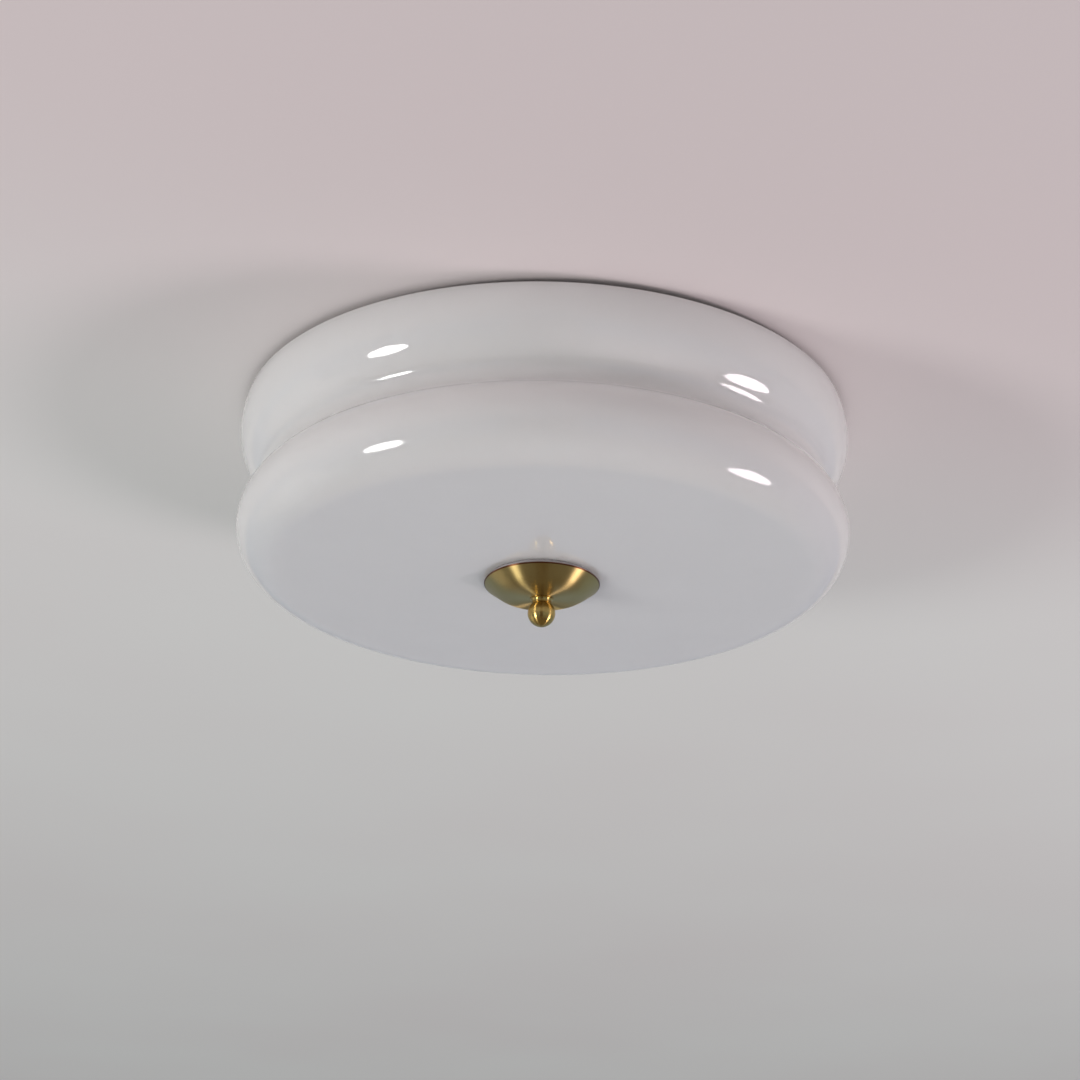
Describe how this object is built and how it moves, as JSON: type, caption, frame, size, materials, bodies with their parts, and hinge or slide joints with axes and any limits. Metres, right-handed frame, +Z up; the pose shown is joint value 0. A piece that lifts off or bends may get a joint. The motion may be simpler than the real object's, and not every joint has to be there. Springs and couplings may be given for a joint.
{
  "type": "flush mount ceiling light",
  "caption": "Round flush mount ceiling light: opal glass shade with two rounded lobes and a waist, held under a ceiling pan by a brass dish and ball knob.",
  "frame": {"origin": "centre of the mounting strap's face that lies against the ceiling", "axes": "+Z up into the ceiling, so the light hangs towards -Z; the strap runs along Y and the bulbs lie along X"},
  "size_m": [0.3515, 0.3516, 0.128],
  "materials": {
    "aluminium_board": "satin",
    "black_insulator": "gloss",
    "black_rubber": "matte",
    "blue_wire": "satin",
    "board_green": "satin",
    "brown_wire": "satin",
    "clear_silicone": "satin",
    "contact_brass": "satin",
    "earth_wire": "satin",
    "led_yellow": "matte",
    "nickel_plate": "satin",
    "opal_glass": "gloss",
    "opal_plastic": "matte",
    "polished_brass": "polished",
    "porcelain": "gloss",
    "satin_brass": "satin",
    "terminal_plastic": "satin",
    "tinned_copper": "satin",
    "white_enamel": "satin",
    "white_plastic": "satin",
    "zinc_steel": "satin"
  },
  "bodies": {
    "fixture": {"ceiling_strap": "zinc_steel", "strap_studs": "zinc_steel", "stud_lock_nuts": "zinc_steel", "ceiling_pan": "white_enamel", "cap_nut_washers": "zinc_steel", "pan_cap_nuts": "nickel_plate", "hanger_rod": "zinc_steel", "rod_nuts": "zinc_steel", "rod_washers": "zinc_steel", "stop_nut": "zinc_steel", "stop_washer": "zinc_steel", "rubber_ring": "black_rubber", "cable_grommet": "black_rubber", "terminal_block": "terminal_plastic", "terminal_inserts": "contact_brass", "terminal_screws": "zinc_steel", "block_fixing_screw": "zinc_steel", "earth_screw": "contact_brass", "earth_nut": "contact_brass", "earth_lug": "tinned_copper", "earth_wire": "earth_wire", "bracket_foot_screws": "zinc_steel", "bracket_foot_nuts": "zinc_steel", "right_neutral_wire": "blue_wire", "right_live_wire": "brown_wire", "left_live_wire": "brown_wire", "left_neutral_wire": "blue_wire", "right_holder_bracket": "zinc_steel", "right_holder_body": "porcelain", "right_holder_shell": "nickel_plate", "right_holder_contact": "contact_brass", "right_holder_clamp_screws": "contact_brass", "right_holder_fixing_screws": "zinc_steel", "left_holder_bracket": "zinc_steel", "left_holder_body": "porcelain", "left_holder_shell": "nickel_plate", "left_holder_contact": "contact_brass", "left_holder_clamp_screws": "contact_brass", "left_holder_fixing_screws": "zinc_steel"},
    "shade": {"glass_shade": "opal_glass", "shade_washer": "clear_silicone", "brass_dish": "satin_brass"},
    "knob": {"finial_knob": "polished_brass"},
    "right_bulb_tip": {"right_bulb_contact": "contact_brass"},
    "right_bulb": {"right_bulb_insulator": "black_insulator", "right_bulb_cap": "nickel_plate", "right_bulb_housing": "white_plastic", "right_bulb_globe": "opal_plastic", "right_bulb_led_board": "aluminium_board", "right_bulb_led_chips": "led_yellow", "right_bulb_driver_board": "board_green"},
    "left_bulb_tip": {"left_bulb_contact": "contact_brass"},
    "left_bulb": {"left_bulb_insulator": "black_insulator", "left_bulb_cap": "nickel_plate", "left_bulb_housing": "white_plastic", "left_bulb_globe": "opal_plastic", "left_bulb_led_board": "aluminium_board", "left_bulb_led_chips": "led_yellow", "left_bulb_driver_board": "board_green"}
  },
  "joints": [
    {"name": "shade_lowering", "type": "slide", "parent": "fixture", "child": "shade", "axis": [0, 0, -1], "range_m": [0, 0.012]},
    {"name": "knob_turn", "type": "hinge", "parent": "shade", "child": "knob", "pos_m": [0, 0, -0.1201], "axis": [0, 0, -1], "range_deg": [0, 4320]},
    {"name": "right_bulb_travel", "type": "slide", "parent": "fixture", "child": "right_bulb_tip", "axis": [1, 0, 0], "range_m": [0, 0.018]},
    {"name": "right_bulb_turn", "type": "hinge", "parent": "right_bulb_tip", "child": "right_bulb", "pos_m": [0.07, 0, -0.059], "axis": [1, 0, 0], "range_deg": [0, 1800]},
    {"name": "left_bulb_travel", "type": "slide", "parent": "fixture", "child": "left_bulb_tip", "axis": [-1, 0, 0], "range_m": [0, 0.018]},
    {"name": "left_bulb_turn", "type": "hinge", "parent": "left_bulb_tip", "child": "left_bulb", "pos_m": [-0.07, 0, -0.059], "axis": [-1, 0, 0], "range_deg": [0, 1800]}
  ],
  "couplings": [
    {"joint": "knob_turn", "follows": "shade_lowering", "rad_per_m": 6283.2},
    {"joint": "right_bulb_turn", "follows": "right_bulb_travel", "rad_per_m": 1731.4},
    {"joint": "left_bulb_turn", "follows": "left_bulb_travel", "rad_per_m": 1731.4}
  ]
}
